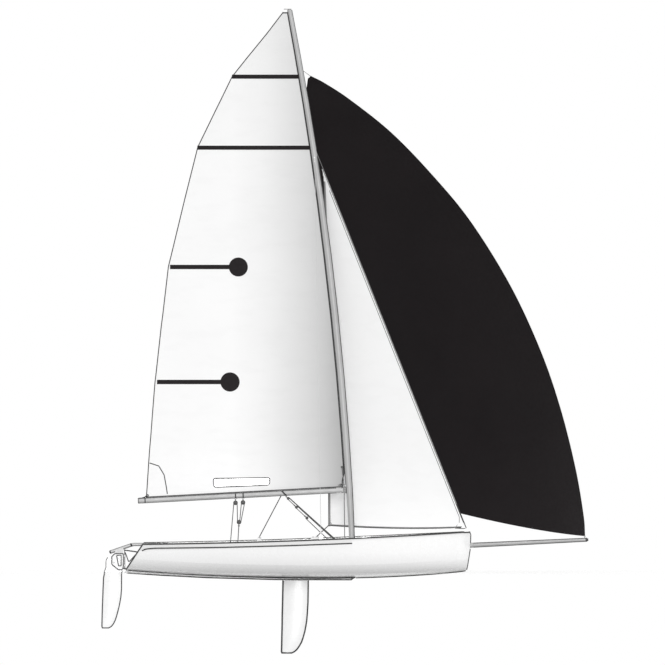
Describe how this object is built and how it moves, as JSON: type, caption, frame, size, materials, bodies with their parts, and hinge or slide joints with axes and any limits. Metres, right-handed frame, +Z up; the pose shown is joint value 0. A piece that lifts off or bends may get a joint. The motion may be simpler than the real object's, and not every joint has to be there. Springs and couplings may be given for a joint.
{
  "type": "sailing dinghy",
  "caption": "Open sailing dinghy under full sail: mainsail, jib and asymmetric spinnaker on a bowsprit, swinging boom, pivoting centreboard and hinged rudder with lifting blade.",
  "frame": {"origin": "on the centreline at half the hull's length, at the surface of the water", "axes": "+X towards the bow, +Y to port, +Z up the mast"},
  "size_m": [6.3541, 2.5615, 8.412],
  "materials": {
    "hull_gelcoat": "gloss",
    "deck_gelcoat": "satin",
    "spar_alloy": "satin",
    "stainless": "satin",
    "foil_gelcoat": "satin",
    "white_sailcloth": "satin",
    "black_sailcloth": "satin",
    "black_fitting": "matte",
    "webbing": "matte",
    "tiller_tube": "satin"
  },
  "bodies": {
    "hull": {"hull": "hull_gelcoat", "deck": "deck_gelcoat", "centreboard_case": "deck_gelcoat", "centreboard_pin": "stainless", "mast": "spar_alloy", "mast_step": "black_fitting", "masthead_crane": "spar_alloy", "gooseneck": "stainless", "bowsprit": "spar_alloy", "bowsprit_collar": "black_fitting", "forestay": "stainless", "bow_fitting": "stainless", "shroud_port": "stainless", "shroud_starboard": "stainless", "chainplate_port": "stainless", "chainplate_starboard": "stainless", "jib": "white_sailcloth", "spinnaker": "black_sailcloth", "rudder_gantry": "stainless", "mainsheet_base": "black_fitting", "mainsheet_block": "black_fitting", "mainsheet_strop": "webbing", "toe_strap_port": "webbing", "toe_strap_starboard": "webbing", "jib_fairlead_port": "black_fitting", "jib_fairlead_starboard": "black_fitting", "spinnaker_halyard": "webbing", "tack_strop": "webbing", "spinnaker_block_port": "black_fitting", "spinnaker_block_starboard": "black_fitting"},
    "boom": {"boom": "spar_alloy", "mainsail": "white_sailcloth", "boom_block_aft": "black_fitting", "boom_block_front": "black_fitting"},
    "centreboard": {"centreboard": "foil_gelcoat"},
    "rudder": {"rudder_stock": "spar_alloy", "tiller": "tiller_tube", "tiller_extension": "black_fitting"},
    "rudder_blade": {"rudder_blade": "foil_gelcoat"}
  },
  "joints": [
    {"name": "boom_swing", "type": "hinge", "parent": "hull", "child": "boom", "pos_m": [0.58244, 0, 1.082], "axis": [-0.1147, 0, 0.9934], "range_deg": [-60, 60]},
    {"name": "centreboard_lift", "type": "hinge", "parent": "hull", "child": "centreboard", "pos_m": [0.031, 0, 0.02], "axis": [0, 1, 0], "range_deg": [0, 90]},
    {"name": "rudder_steer", "type": "hinge", "parent": "hull", "child": "rudder", "pos_m": [-2.262, 0, 0.056], "axis": [0, 0, 1], "range_deg": [-40, 40]},
    {"name": "rudder_blade_lift", "type": "hinge", "parent": "rudder", "child": "rudder_blade", "pos_m": [-2.404, 0, 0.135], "axis": [0, 1, 0], "range_deg": [0, 90]}
  ]
}
